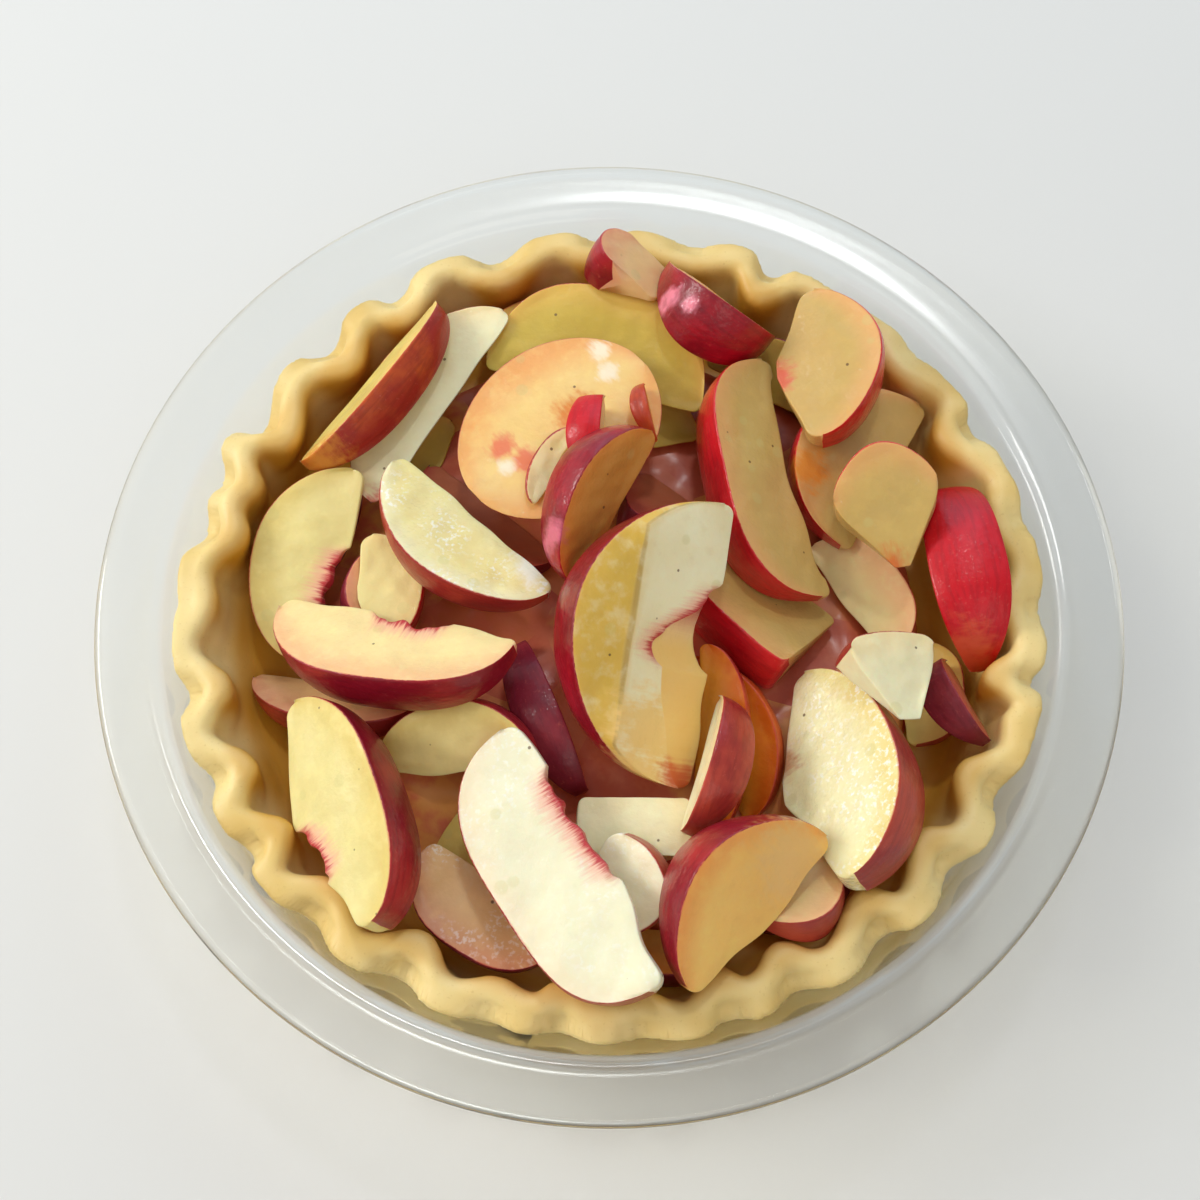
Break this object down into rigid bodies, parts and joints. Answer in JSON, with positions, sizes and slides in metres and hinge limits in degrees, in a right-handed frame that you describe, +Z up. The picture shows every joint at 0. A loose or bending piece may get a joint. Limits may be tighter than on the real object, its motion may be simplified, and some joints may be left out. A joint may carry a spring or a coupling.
{
  "type": "unbaked peach pie",
  "caption": "Unbaked peach pie: a wide-rimmed glass pie dish lined with raw fluted pastry and heaped with cut raw peach slices.",
  "frame": {"origin": "middle of the dish's underside, on the surface it stands on", "axes": "+Z up, the front edge towards -Y, +X to the right"},
  "size_m": [0.24, 0.2398, 0.059],
  "materials": {
    "glass": "clear, polished",
    "dough": "raw pastry, smooth and matt",
    "packed_fruit": "wet cut fruit in shade",
    "peach": "wet cut peach flesh, cream to amber, with red skin"
  },
  "bodies": {
    "root": {"dish": "glass", "crust": "dough", "core": "packed_fruit", "front_low": "peach", "front_right_low": "peach", "back_low": "peach", "left_low": "peach", "olive_between": "peach", "mauve_face": "peach", "pink_under_wet": "peach", "small_oval": "peach", "red_edge_left": "peach", "pale_low_left": "peach", "wet_pink_front": "peach", "pale_right_low": "peach", "wine_right": "peach", "olive_deep": "peach", "wine_deep": "peach", "back_pale": "peach", "pink_round": "peach", "orange_crescent": "peach", "yellow_under_long": "peach", "wine_centre": "peach", "pale_wedge": "peach", "bar": "peach", "white_chunk": "peach", "skin_and_face": "peach", "orange_chunk": "peach", "amber_back_right": "peach", "tan_right": "peach", "pink_back": "peach", "green_back": "peach", "long_cream": "peach", "left_crescent": "peach", "peach_front_left": "peach", "left_front": "peach", "white_front": "peach", "white_right": "peach", "yellow_front": "peach", "white_wedge_right": "peach", "red_skin_right": "peach", "fan_right": "peach", "red_skin_back": "peach", "back_left_wedge": "peach", "disc": "peach", "wet_white": "peach", "red_left_arc": "peach", "fan_back_right": "peach", "pale_strip": "peach", "red_tab": "peach", "orange_sliver": "peach", "crimson_arc": "peach", "long_top": "peach"}
  },
  "joints": []
}
